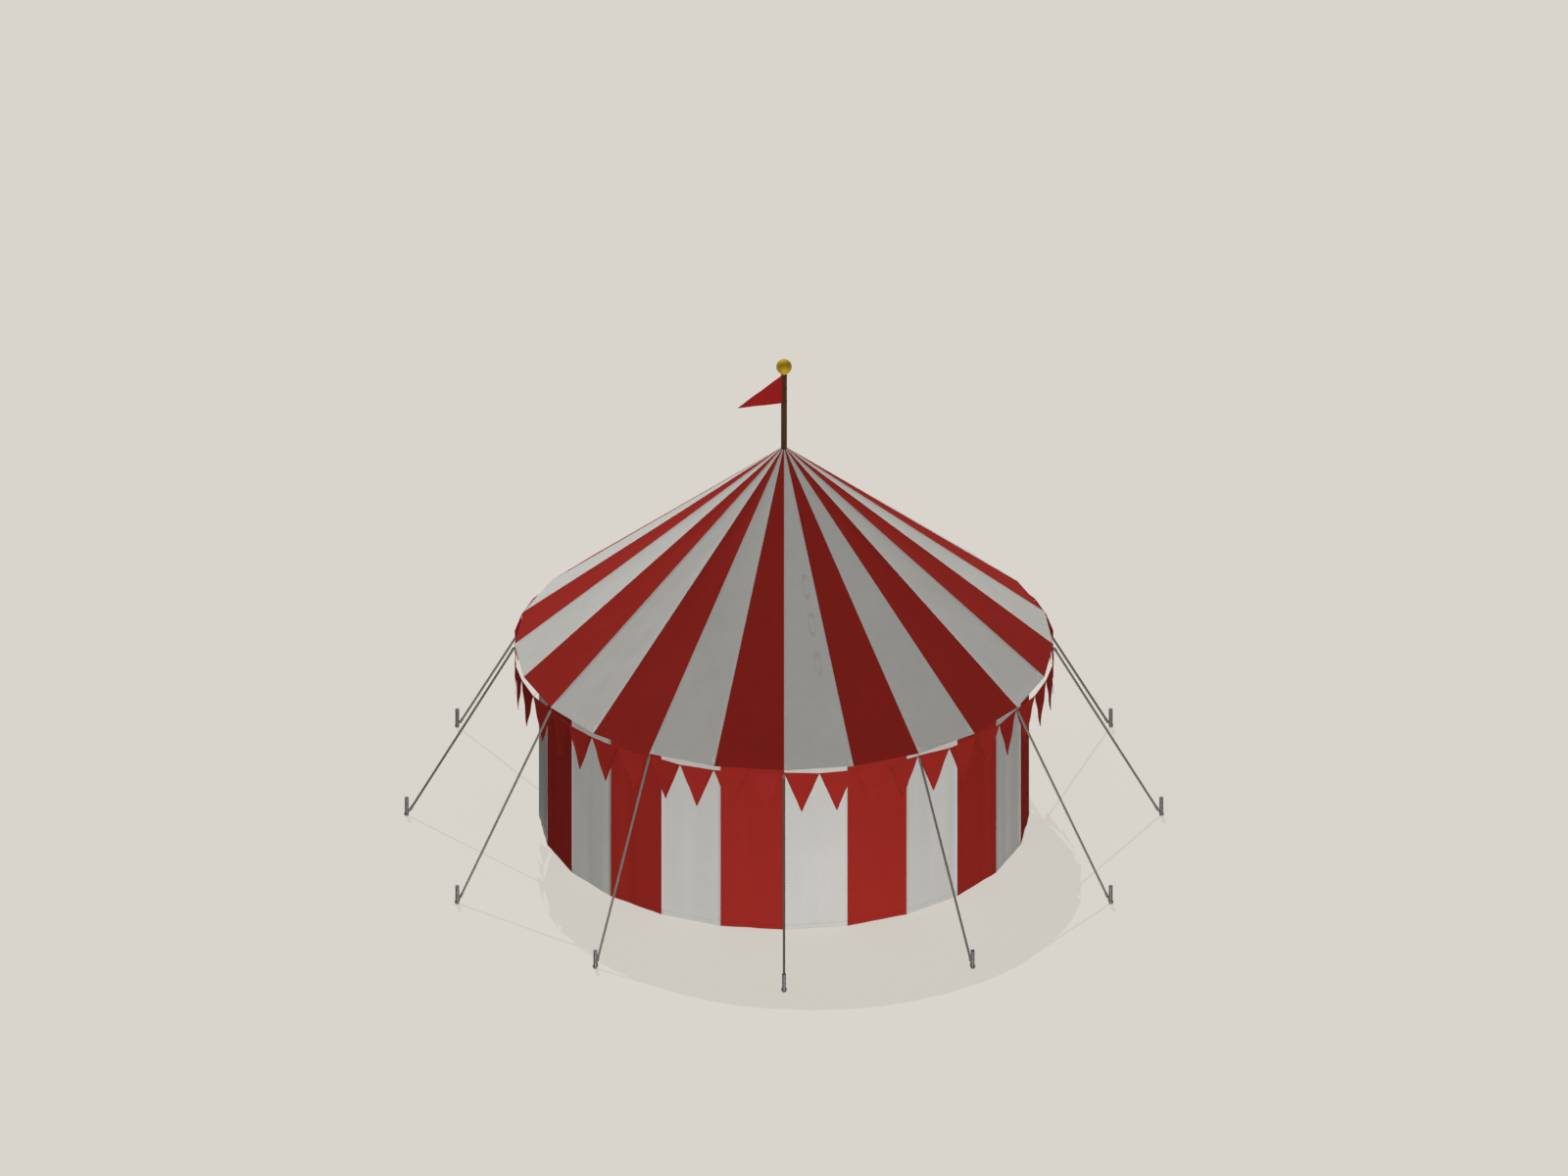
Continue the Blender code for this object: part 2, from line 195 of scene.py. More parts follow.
# The photograph's view: parallel, this wide, from this height, looking along +Y.
VIEW_WIDTH = 16.0
VIEW_ELEVATION = 27.92
VIEW_CENTRE = (0, 0, 2.622)
VIEW_DISTANCE = 30

# The studio: a sun, a lamp at a distance, an angle and a height, and a sky that is dimmer to the right.
SUN_STRENGTH = 1.787
SUN_PLACE = (-1.16, 6.04, 7.88)
SUN_SPREAD = 0.25
LAMP_STRENGTH = 4690
LAMP_DISTANCE = 24
LAMP_ANGLE = 8
LAMP_HEIGHT = -14
SKY_STRENGTH = 0.229
SKY_FALL = 0.15
HORIZON_BLUR = 0.02
FLOOR_REACH = 220
BACKDROP_REACH = 180

# Colours, as light from 0 to 1.
WHITE = (0.80, 0.782, 0.730)
RED = (0.452, 0.0285, 0.0205)
CRIMSON = (0.56, 0.0235, 0.0235)
WHITE_THREAD = (0.62, 0.58, 0.48)
RED_THREAD = (0.30, 0.035, 0.025)
HEMP_DARK = (0.235, 0.217, 0.184)
HEMP_LIGHT = (0.46, 0.43, 0.37)
IRON_DARK = (0.099, 0.104, 0.108)
IRON_LIGHT = (0.183, 0.190, 0.196)
CORD_DARK = (0.045, 0.026, 0.013)
CORD_LIGHT = (0.095, 0.060, 0.032)
WOOD_DARK = (0.066, 0.0295, 0.0087)
WOOD_LIGHT = (0.152, 0.071, 0.0248)
GILT_DARK = (0.505, 0.354, 0.023)
GILT_LIGHT = (0.70, 0.50, 0.042)
FLOOR = (0.694, 0.665, 0.604)
FLOOR_DIFFUSE = 0.248
FLOOR_GLOW = 0.833


# Small sums

def smooth(x):
    x = np.clip(x, 0, 1)
    return x * x * (3 - 2 * x)


def numbered(name, number):
    return f"{name}_{number:02d}"


def outward(angle):
    """The level direction away from the centre pole at an angle from the front."""
    turn = math.radians(angle)
    return np.array([math.sin(turn), -math.cos(turn), 0.0])


def sideways(angle):
    """The level direction in which the angle grows, to the right for one who looks at the tent."""
    turn = math.radians(angle)
    return np.array([math.cos(turn), math.sin(turn), 0.0])


UP = np.array([0.0, 0.0, 1.0])


def panel_width(radius):
    """Width of a flat panel of the ring whose corners lie this far out."""
    return 2 * radius * math.sin(HALF_ANGLE)


def roof_height(radius, depth=0.0):
    """Height of the roof over a corner radius, or of the surface this deep under its outer face."""
    return EAVE_HEIGHT + (EAVE_RADIUS - radius) * ROOF_RISE - depth * ROOF_SLANT


def rope_distance(height):
    return STAKE_CIRCLE - height / ROPE_RISE


def ripples(random, x, y, count, lengths):
    """A soft field of about -1 to 1: waves of these lengths that run at random angles."""
    total = np.zeros_like(x)
    for _ in range(count):
        angle = random.uniform(0, math.pi)
        length = random.uniform(*lengths)
        phase = random.uniform(0, 2 * math.pi)
        total += np.sin((x * math.cos(angle) + y * math.sin(angle)) * 2 * math.pi / length + phase)
    return total / math.sqrt(count)


# Meshes

class Shape:
    """Points, faces, cloth coordinates and marks, gathered piece by piece into one mesh."""

    def __init__(self, *marks):
        self.points = []
        self.faces = []
        self.flat = []
        self.marks = {mark: [] for mark in marks}
        self.count = 0

    def add(self, points, faces, flat, **marks):
        points = points.reshape(-1, 3)
        self.points.append(points)
        self.faces.extend((faces + self.count).tolist())
        self.flat.append(flat.reshape(-1, 2))
        for mark, values in self.marks.items():
            values.append(np.broadcast_to(marks[mark], len(points)).reshape(-1))
        self.count += len(points)

    def add_cap(self, corners):
        self.faces.append(list(corners))

    def object(self, name, material, sharp=40):
        data = bpy.data.meshes.new(name)
        data.from_pydata(np.concatenate(self.points).tolist(), [], self.faces)
        layer = data.uv_layers.new(name="cloth")
        corners = np.zeros(len(data.loops), np.int32)
        data.loops.foreach_get("vertex_index", corners)
        layer.data.foreach_set("uv", np.concatenate(self.flat)[corners].astype(np.float32).ravel())
        for mark, values in self.marks.items():
            attribute = data.attributes.new(mark, "FLOAT", "POINT")
            attribute.data.foreach_set("value", np.concatenate(values).astype(np.float32))
        data.materials.append(material)
        data.shade_smooth()
        data.set_sharp_from_angle(angle=math.radians(sharp))
        made = bpy.data.objects.new(name, data)
        bpy.context.scene.collection.objects.link(made)
        return made


def cells(index):
    """Faces between numbered points, which show towards one who sees rows run down and columns right."""
    corners = (index[:-1, :-1], index[1:, :-1], index[1:, 1:], index[:-1, 1:])
    return np.stack(corners, -1).reshape(-1, 4)


def grid_faces(rows, columns, closed=False):
    """Faces of a grid of points, which is joined from its last column to its first where it is closed."""
    index = np.arange(rows * columns).reshape(rows, columns)
    if closed:
        index = np.concatenate([index, index[:, :1]], axis=1)
    return cells(index)


def shell_faces(rows, columns):
    """Faces of a closed shell: an outer grid, an inner grid behind it, and the rim between them."""
    count = rows * columns
    outer = grid_faces(rows, columns)
    index = np.arange(count).reshape(rows, columns)
    border = np.concatenate([index[0, :-1], index[:-1, -1], index[-1, :0:-1], index[:0:-1, 0]])
    after = np.roll(border, -1)
    rim = np.stack([border, after, after + count, border + count], -1)
    return np.concatenate([outer, outer[:, ::-1] + count, rim])


def lay_out(across, along):
    """Cloth coordinates of a grid of points, from their distances across and along."""
    return np.stack(np.broadcast_arrays(across[None, :], along[:, None]), -1)


def add_shell(shape, layers, flat, seams, hem):
    """Adds a closed shell of cloth between an outer and an inner grid of points."""
    hems = np.stack([hem, hem]).ravel()
    flats = np.stack([flat, flat])
    shape.add(np.stack(layers), shell_faces(*hem.shape), flats, seam=np.stack(seams).ravel(), hem=hems)


def add_panel(shape, head, across, down, widths, length, **sewn):
    """Adds a flat piece of cloth that tapers from one width to another, with its hems and its relief.

    head is the middle of its upper edge, across and down are its directions seen from outside.
    sewn holds: cloth (thickness), grid (rows and columns), seam (width of the folded side edges, 0 for
    none), hems (widths at head and foot), fold (height of folded edges, where it isn't the canvas's),
    and relief, which gives how far each point stands out.
    """
    seam, (head_hem, foot_hem), (rows, columns) = sewn["seam"], sewn["hems"], sewn["grid"]
    marks = [0, head_hem - FOLD_STEP, head_hem] if head_hem else [0]
    ends = [length - foot_hem, length - foot_hem + FOLD_STEP, length] if foot_hem else [length]
    middle = np.linspace(marks[-1], ends[0], rows + 1)[1:-1]
    along = np.concatenate([marks, middle, ends])
    half = (widths[0] + (widths[1] - widths[0]) * along / length) / 2
    edge = np.minimum(seam if seam else PLAIN_EDGE, 0.3 * half)
    inner = np.linspace(-1, 1, columns + 1)[None, :] * (half - edge)[:, None]
    side = np.stack([half, half - 0.85 * edge], -1)
    x = np.concatenate([-side, inner, side[:, ::-1]], axis=1)
    y = np.broadcast_to(along[:, None], x.shape)
    from_side = half[:, None] - np.abs(x)
    folded = np.clip(np.maximum(head_hem - y, y - length + foot_hem) / FOLD_STEP, 0, 1)
    if seam:
        folded = np.maximum(folded, np.clip((edge[:, None] - from_side) / (0.15 * edge[:, None]), 0, 1))
    out = np.cross(down, across)
    height = sewn["relief"](x / half[:, None], x, y)
    base = head + x[..., None] * across + y[..., None] * down + height[..., None] * out
    outer = base + (folded * sewn.get("fold", FOLD_HEIGHT))[..., None] * out
    hem = np.minimum(y + (0 if head_hem else FAR), length - y + (0 if foot_hem else FAR))
    layers = [outer, base - sewn["cloth"] * out]
    add_shell(shape, layers, np.stack([x, y], -1), [from_side, from_side + FAR], hem)


def cloth_piece(name, material, *panel, **sewn):
    """A piece that is one panel of cloth, which is given as add_panel takes it."""
    shape = Shape("seam", "hem")
    add_panel(shape, *panel, **sewn)
    return shape.object(name, material)


def add_band(shape, profile, corners):
    """Adds a strip of cloth round the tent. Its profile of (radius, height) points turns clockwise.

    corners holds the angle of each corner, and how far the strip is pulled in there.
    """
    profile = np.array(profile)
    ring = np.array([
        [(radius - pull) * outward(angle) + height * UP for angle, pull in corners]
        for radius, height in profile
    ])
    rows, columns = ring.shape[:2]
    index = np.arange(rows * columns).reshape(rows, columns)
    index = np.concatenate([index, index[:1]])
    start = shape.count
    flat = lay_out(path_lengths(ring[0]), path_lengths(profile))
    shape.add(ring, cells(index), flat, seam=FAR, hem=FAR)
    shape.add_cap(start + index[:-1, 0])
    shape.add_cap(start + index[:-1, -1][::-1])


def directions(path):
    """Two unit directions square to a path at each of its points, which turn as little as they can."""
    ahead = np.gradient(path, axis=0)
    ahead /= np.linalg.norm(ahead, axis=1, keepdims=True)
    start = np.cross(ahead[0], [1.0, 0.0, 0.0] if abs(ahead[0][0]) < 0.8 else [0.0, 1.0, 0.0])
    normals = [start / np.linalg.norm(start)]
    for direction in ahead[1:]:
        normal = normals[-1] - direction * (normals[-1] @ direction)
        normals.append(normal / np.linalg.norm(normal))
    normals = np.array(normals)
    return normals, np.cross(ahead, normals)


def path_lengths(path):
    return np.concatenate([[0], np.cumsum(np.linalg.norm(np.diff(path, axis=0), axis=1))])


def add_tube(shape, path, radius, sides, **marks):
    """Adds a round tube with flat ends along a path. A mark is a number, or a function of its points."""
    normals, others = directions(path)
    turns = np.arange(sides) * 2 * math.pi / sides
    ring = np.cos(turns)[None, :, None] * normals[:, None] + np.sin(turns)[None, :, None] * others[:, None]
    points = path[:, None] + radius * ring
    flat = lay_out(turns * radius, path_lengths(path))
    start = shape.count
    faces = grid_faces(len(path), sides, closed=True)[:, ::-1]
    values = {mark: value(points) if callable(value) else value for mark, value in marks.items()}
    shape.add(points, faces, flat, **values)
    shape.add_cap(start + np.arange(sides)[::-1])
    shape.add_cap(start + (len(path) - 1) * sides + np.arange(sides))


def evenly(points, spacing):
    """Points at an even spacing along straight runs between the given points."""
    lengths = path_lengths(points)
    wanted = np.linspace(0, lengths[-1], max(2, round(lengths[-1] / spacing) + 1))
    return np.stack([np.interp(wanted, lengths, points[:, axis]) for axis in range(3)], -1)


def rounded_corner(start, corner, end):
    """Points of a smooth bend from one point to another, round the corner between them."""
    t = np.linspace(0, 1, 13)[:, None]
    return (1 - t) ** 2 * start + 2 * t * (1 - t) * corner + t**2 * end


def smooth_path(points, spacing):
    """Points at an even spacing along a smooth curve through the given points."""
    points = np.array(points, float)
    ends = np.concatenate([[2 * points[0] - points[1]], points, [2 * points[-1] - points[-2]]])
    fine = []
    for a, b, c, d in zip(ends, ends[1:], ends[2:], ends[3:]):
        t = np.linspace(0, 1, 24, endpoint=False)[:, None]
        fine.append(
            0.5 * (2 * b + (c - a) * t + (2 * a - 5 * b + 4 * c - d) * t**2 + (3 * b - a - 3 * c + d) * t**3)
        )
    return evenly(np.concatenate([*fine, points[-1:]]), spacing)


def add_laid_rope(shape, path, radius, lay):
    """Adds a rope of three strands that wind round a path."""
    strand = radius / (1 + 2 / math.sqrt(3))
    offset = radius - strand
    normals, others = directions(path)
    turns = path_lengths(path) * 2 * math.pi / lay

    # How far out from the rope's axis each point lies, which the hemp material turns into painted shade in
    # the grooves.
    def crest(points):
        return np.clip(np.linalg.norm(points - path[:, None], axis=-1) / radius, 0, 1).ravel()

    for number in range(3):
        angle = (turns + number * 2 * math.pi / 3)[:, None]
        line = path + offset * (np.cos(angle) * normals + np.sin(angle) * others)
        add_tube(shape, line, strand * 1.04, 7, crest=crest)


def add_winding(shape, start, end, radius, twine):
    """Adds twine wound tight round a rope, from one point to another."""
    normals, others = directions(np.stack([start, end]))
    turns = np.linalg.norm(end - start) / (2 * twine)
    angle = np.linspace(0, turns * 2 * math.pi, round(turns * 14))[:, None]
    line = start + (end - start) * angle / angle[-1] + (radius + twine) * (
        np.cos(angle) * normals[0] + np.sin(angle) * others[0]
    )
    add_tube(shape, line, twine, 6, crest=0.9)


def turned(name, profile, sides, material, dent, sharp, centre=(0, 0)):
    """A round body from a profile of (radius, height) points, top first. dent moves a point in or out."""
    shape = Shape("crest")
    turns = np.arange(sides) * 2 * math.pi / sides
    profile = np.array(profile)
    ring = np.stack([np.sin(turns), -np.cos(turns), np.zeros(sides)], -1)
    points = profile[:, 0, None, None] * ring + profile[:, 1, None, None] * UP
    away = np.array([[dent(point) for point in row] for row in points])
    points = points + away[..., None] * ring + np.array([*centre, 0])
    flat = lay_out(turns * profile[:, 0].max(), profile[:, 1])
    shape.add(points, grid_faces(len(profile), sides, closed=True), flat, crest=1.0)
    shape.add_cap(np.arange(sides))
    shape.add_cap((len(profile) - 1) * sides + np.arange(sides)[::-1])
    return shape.object(name, material, sharp)


# Materials

class Nodes:
    """The nodes of a material or a sky, and short ways to add to them."""

    def __init__(self, owner):
        owner.use_nodes = True
        self.owner = owner
        self.tree = owner.node_tree

    def feed(self, socket, value):
        if isinstance(value, bpy.types.NodeSocket):
            self.tree.links.new(value, socket)
        else:
            socket.default_value = value

    def add(self, kind, inputs=None, **settings):
        node = self.tree.nodes.new(kind)
        for setting, value in settings.items():
            setattr(node, setting, value)
        for name, value in (inputs or {}).items():
            self.feed(node.inputs[name], value)
        return node

    def math(self, operation, *values):
        node = self.add("ShaderNodeMath", operation=operation)
        for socket, value in zip(node.inputs, values):
            self.feed(socket, value)
        return node.outputs[0]

    def total(self, *values, operation="ADD"):
        result = values[0]
        for value in values[1:]:
            result = self.math(operation, result, value)
        return result

    def scaled(self, value, factor):
        return self.math("MULTIPLY", value, factor)

    def about_half(self, value, swing):
        """A noise value moved so that it is about 0 and swings by this much."""
        return self.scaled(self.math("SUBTRACT", value, 0.5), swing)

    def vector(self, x, y, z=0.0):
        return self.add("ShaderNodeCombineXYZ", {"X": x, "Y": y, "Z": z}).outputs[0]

    def cloth(self):
        """Distances across and along the cloth, in metres."""
        uv = self.add("ShaderNodeUVMap", uv_map="cloth")
        parts = self.add("ShaderNodeSeparateXYZ", {"Vector": uv.outputs[0]})
        return parts.outputs[0], parts.outputs[1]

    def place(self, x=1.0, y=1.0, z=1.0):
        """The point on the object, with each direction stretched."""
        point = self.add("ShaderNodeTexCoord").outputs["Object"]
        return self.add("ShaderNodeMapping", {"Vector": point, "Scale": (x, y, z)}).outputs[0]

    def mark(self, name):
        return self.add("ShaderNodeAttribute", attribute_name=name).outputs["Fac"]

    def noise(self, vector, scale=1.0, detail=2.0, roughness=0.5):
        inputs = {"Vector": vector, "Scale": scale, "Detail": detail, "Roughness": roughness}
        return self.add("ShaderNodeTexNoise", inputs).outputs[0]

    def between(self, value, low, high, to_low=0.0, to_high=1.0):
        names = ("Value", "From Min", "From Max", "To Min", "To Max")
        node = self.add("ShaderNodeMapRange", dict(zip(names, (value, low, high, to_low, to_high))))
        return node.outputs[0]

    def mix(self, factor, a, b):
        node = self.add("ShaderNodeMix", data_type="RGBA")
        self.feed(node.inputs[0], factor)
        for index, colour in ((6, a), (7, b)):
            linked = isinstance(colour, bpy.types.NodeSocket)
            self.feed(node.inputs[index], colour if linked else (*colour, 1.0))
        return node.outputs[2]

    def stitches(self, distance, at, along):
        """1 on the stitches of a sewn row that lies this far from an edge, and 0 elsewhere."""
        off = self.math("ABSOLUTE", self.math("SUBTRACT", distance, at))
        row = self.math("LESS_THAN", off, STITCH_WIDTH / 2)
        step = self.math("FRACT", self.scaled(along, 1 / STITCH_LENGTH))
        return self.math("MULTIPLY", row, self.math("LESS_THAN", step, STITCH_SHARE))

    def finish(self, colour, roughness, height):
        """Links the colour, the roughness and a height in millimetres to the shader."""
        bump = self.add("ShaderNodeBump", {"Height": height, "Distance": 0.001, "Strength": 1.0})
        shader = self.tree.nodes["Principled BSDF"]
        self.feed(shader.inputs["Base Color"], colour)
        self.feed(shader.inputs["Roughness"], roughness)
        self.feed(shader.inputs["Normal"], bump.outputs[0])
        return self.owner


def new_material(name, **constants):
    """The nodes of a new material, with constants set on its shader."""
    made = Nodes(bpy.data.materials.new(name))
    for socket, value in constants.items():
        made.tree.nodes["Principled BSDF"].inputs[socket.replace("_", " ")].default_value = value
    return made


def shade(colour, factor):
    return tuple(min(1.0, channel * factor) for channel in colour)


def cloth_material(name, colour, thread, pitch, rows, depth=0.06):
    """Woven cloth: threads over and under with painted shade between them, uneven yarn, uneven dye, and sewn
    rows along its seams and hems.

    rows holds the distances of the sewn rows from the side seams, and from the hems.
    """
    made = new_material(name, Sheen_Weight=0.015, Sheen_Tint=(*colour, 1.0), Specular_IOR_Level=0.07)
    across, along = made.cloth()
    warp = made.math("SINE", made.scaled(across, math.pi / pitch))
    weft = made.math("SINE", made.scaled(along, math.pi / pitch))
    weave_and_shade = made.math("MULTIPLY", warp, weft)
    warp_yarn = made.noise(made.vector(made.scaled(across, 0.6 / pitch), made.scaled(along, 16)))
    weft_yarn = made.noise(made.vector(made.scaled(across, 16), made.scaled(along, 0.6 / pitch), 7.0))
    yarn = made.total(made.about_half(warp_yarn, 1.0), made.about_half(weft_yarn, 1.0))
    cloud = made.noise(made.place(), 1.1, 5.0, 0.55)
    run = made.noise(made.place(9, 9, 0.8), 1.0, 3.0)
    # Part of the tone is painted shade between the threads of the weave. The rest is uneven yarn and dye.
    tone = made.total(
        0.5,
        made.scaled(weave_and_shade, 0.10),
        made.scaled(yarn, 0.55),
        made.about_half(cloud, 0.75),
        made.about_half(run, 0.45),
    )
    body = made.mix(tone, shade(colour, 0.90), shade(colour, 1.10))
    seam, hem = made.mark("seam"), made.mark("hem")
    sewn = [made.stitches(seam, at, along) for at in rows[0]]
    sewn += [made.stitches(hem, at, across) for at in rows[1]]
    stitch = made.total(*sewn, operation="MAXIMUM")
    pucker = made.noise(made.vector(made.scaled(along, 34), made.scaled(across, 34)), 1.0, 1.0)
    near_seam = made.between(made.math("MINIMUM", seam, hem), 0.0, 0.05, 1.0, 0.0)
    height = made.total(
        made.scaled(weave_and_shade, depth),
        made.scaled(yarn, 0.16),
        made.math("MULTIPLY", made.about_half(pucker, 1.6), near_seam),
        made.scaled(stitch, 0.35),
    )
    roughness = made.between(yarn, -0.5, 0.5, 0.95, 0.82)
    return made.finish(made.mix(stitch, body, thread), roughness, height)


def hemp_material(name, dark, light):
    """Laid rope or twine: fibres that run along the strands, and painted shade down in the grooves."""
    made = new_material(name, Specular_IOR_Level=0.2)
    across, along = made.cloth()
    fibre = made.noise(made.vector(made.scaled(across, 900), made.scaled(along, 45)), 1.0, 3.0)
    patch = made.noise(made.place(), 9.0, 3.0)
    # Painted shade: darker down in the grooves between the strands, lighter on their crests.
    crest = made.scaled(made.between(made.mark("crest"), 0.45, 1.0), 0.45)
    tone = made.total(crest, made.about_half(fibre, 0.9), made.about_half(patch, 0.5), 0.25)
    roughness = made.between(fibre, 0.3, 0.7, 0.95, 0.8)
    return made.finish(made.mix(tone, dark, light), roughness, made.scaled(fibre, 0.5))


def iron_material(name):
    """A forged bar: scaled, hammered and rubbed, with a duller skin in its hollows."""
    made = new_material(name, Metallic=0.35, Specular_IOR_Level=0.3)
    scale = made.noise(made.place(), 60.0, 5.0, 0.6)
    blows = made.noise(made.place(1, 1, 0.6), 45.0, 1.0)
    tone = made.total(made.between(scale, 0.3, 0.7), made.about_half(blows, 0.5))
    roughness = made.between(scale, 0.3, 0.7, 0.62, 0.42)
    height = made.total(made.scaled(scale, 0.35), made.scaled(blows, 0.5))
    return made.finish(made.mix(tone, IRON_DARK, IRON_LIGHT), roughness, height)


def wood_material(name):
    """An oiled pole: long grain with fine pores, and wider bands of darker wood."""
    made = new_material(name, Specular_IOR_Level=0.04)
    bend = made.noise(made.place(2, 2, 0.7), 1.0, 2.0)
    offset = made.vector(made.scaled(bend, 5.0), made.scaled(bend, 3.0))
    point = made.add("ShaderNodeVectorMath", {0: made.place(70, 70, 2.2), 1: offset}, operation="ADD")
    grain = made.noise(point.outputs[0], 1.0, 4.0, 0.6)
    pores = made.noise(made.place(420, 420, 14), 1.0, 1.0)
    tone = made.total(made.between(grain, 0.3, 0.7), made.about_half(pores, 0.6))
    roughness = made.between(grain, 0.3, 0.7, 0.95, 0.80)
    height = made.total(made.scaled(grain, 0.3), made.scaled(pores, 0.15))
    return made.finish(made.mix(tone, WOOD_DARK, WOOD_LIGHT), roughness, height)


def gilt_material(name):
    """Gilded metal: leaf laid in small squares, rubbed thin here and there."""
    made = new_material(name, Metallic=0.85)
    leaf = made.noise(made.place(), 38.0, 3.0)
    rubbed = made.noise(made.place(), 9.0, 5.0, 0.6)
    tone = made.total(made.between(rubbed, 0.35, 0.65), made.about_half(leaf, 0.4))
    roughness = made.between(leaf, 0.3, 0.7, 0.80, 0.74)
    height = made.total(made.scaled(leaf, 0.12), made.scaled(rubbed, 0.25))
    return made.finish(made.mix(tone, GILT_DARK, GILT_LIGHT), roughness, height)


def plain_emission(name, colour, diffuse=0.0):
    """A studio surface that glows evenly, and that takes a faint shadow where part of it is diffuse."""
    made = new_material(name)
    made.tree.nodes.remove(made.tree.nodes["Principled BSDF"])
    result = made.add("ShaderNodeEmission", {"Color": (*colour, 1.0)}).outputs[0]
    if diffuse:
        matt = made.add("ShaderNodeBsdfDiffuse", {"Color": (*shade(FLOOR, diffuse), 1.0)}).outputs[0]
        result = made.add("ShaderNodeAddShader", {0: result, 1: matt}).outputs[0]
    made.feed(made.tree.nodes["Material Output"].inputs["Surface"], result)
    return made.owner


# Pieces

def keep(piece, slot, *nodes):
    """Makes a piece part of the tent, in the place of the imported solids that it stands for."""
    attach(piece, "root")
    if nodes:
        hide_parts(*nodes)
    return piece


def stripe(number):
    """A panel's colour, the angle of its middle, its seams' width and the side its guy rope is on."""
    angle = (number + 0.5) * PANEL_ANGLE
    return ("red", angle, 0, 1) if number % 2 else ("white", angle, SEAM_WIDTH, -1)


def slope_of(angle):
    """The top of the middle line of the gore at this angle, the direction down it, and its length."""
    middle = outward(angle) * math.cos(HALF_ANGLE)
    top = TOP_RADIUS * middle + roof_height(TOP_RADIUS) * UP
    foot = EAVE_RADIUS * middle + EAVE_HEIGHT * UP
    length = np.linalg.norm(foot - top)
    return top, (foot - top) / length, length


def gore_relief(number, length, guy_side):
    """How far a gore stands out: a slight sag, pleats at the crown, and pulls from the guy rope."""
    random = np.random.default_rng(100 + number)
    phase = random.uniform(0, 2 * math.pi, 2)
    overhang_start = length * (WALL_RADIUS - TOP_RADIUS) / (EAVE_RADIUS - TOP_RADIUS)

    def relief(t, x, y):
        half = y * EAVE_RADIUS * math.sin(HALF_ANGLE) / length
        free = smooth((1 - np.abs(t)) * half / 0.06)
        slack = smooth((overhang_start - y) / 0.3)
        sag = -GORE_SAG * (1 - t * t) * np.sin(math.pi * np.clip(y / overhang_start, 0, 1)) ** 0.8
        near_crown = np.exp(-y / 0.7) * smooth(y / 0.3) * (1 - t**4)
        pleats = PLEAT_DEPTH * np.cos(t * 2.5 * math.pi + phase[0]) * near_crown
        corner_x = guy_side * panel_width(EAVE_RADIUS) / 2
        run = np.hypot(x - corner_x, y - length)
        swing = np.arctan2(length - y, (corner_x - x) * guy_side)
        pull = ROPE_PULL * np.cos(13 * swing + phase[1]) * np.exp(-run / 0.75)
        folds = GORE_FOLDS * ripples(random, x * 1.5, y * 0.45, 7, (0.22, 0.6))
        above_hem = smooth((length - y - 0.06) / 0.15)
        return sag + (pleats + pull + folds) * free * (0.12 + 0.88 * slack) * above_hem

    return relief


def make_roof(canvas):
    """The gores, white and red in turn. The white ones are lapped over the red along each seam."""
    widths = [panel_width(radius) for radius in (TOP_RADIUS, EAVE_RADIUS)]
    for number in range(SIDES):
        colour, angle, seam, guy_side = stripe(number)
        head, down, length = slope_of(angle)
        gore = cloth_piece(
            numbered(f"roof_{colour}_gore", number // 2 + 1), canvas[colour],
            head, sideways(angle), down, widths, length,
            cloth=CANVAS, grid=(64, 22), seam=seam, hems=(0, EAVE_HEM),
            relief=gore_relief(number, length, guy_side),
        )
        keep(gore, f"{colour}_canvas", f"roof_{colour}_gores")


def roof_band(name, colour, cloth, inner, outer):
    """A band sewn all round under the gores of a colour, between two corner radii."""
    top = CANVAS + PLY
    bottom = top + BAND_THICKNESS
    section = ((inner, top), (outer, top), (outer, bottom), (inner, bottom))
    profile = [(radius, roof_height(radius, depth)) for radius, depth in section]
    corners = [(number * PANEL_ANGLE, 0) for number in range(SIDES)] + [(359.99, 0)]
    shape = Shape("seam", "hem")
    add_band(shape, profile, corners)
    return keep(shape.object(name, cloth, 20), f"{colour}_canvas", f"roof_{colour}_gores")


def make_roof_lining(canvas):
    """The band sewn inside the eave, the patches that hold the ropes to it, and the collar in the crown."""
    edge = EAVE_RADIUS - BAND_SETBACK
    band = roof_band("eave_band", "white", canvas["white"], edge - BAND_WIDTH, edge)
    patches = Shape("seam", "hem")
    for number in range(GUY_COUNT):
        add_rope_patch(patches, number * GUY_ANGLE)
    patches = keep(patches.object("rope_patches", canvas["white"], 30), "white_canvas")
    inner = POLE_RADIUS + COLLAR_ROOM
    collar = roof_band("crown_collar", "red", canvas["red"], inner, COLLAR_RADIUS)


def under_band(radius, depth=0.0):
    """The distance and height of a point on a seam of the roof, this deep under the eave band."""
    return np.array([radius, roof_height(radius, CANVAS + PLY + BAND_THICKNESS + PLY + depth)])


def becket_bend():
    """Where the axis of a becket, which lines up with its guy rope, turns in under the eave band."""
    foot = under_band(0, BECKET_RADIUS)[1]
    radius = (STAKE_CIRCLE * ROPE_RISE - foot) / (ROPE_RISE - ROOF_RISE)
    return np.array([radius, (STAKE_CIRCLE - radius) * ROPE_RISE])


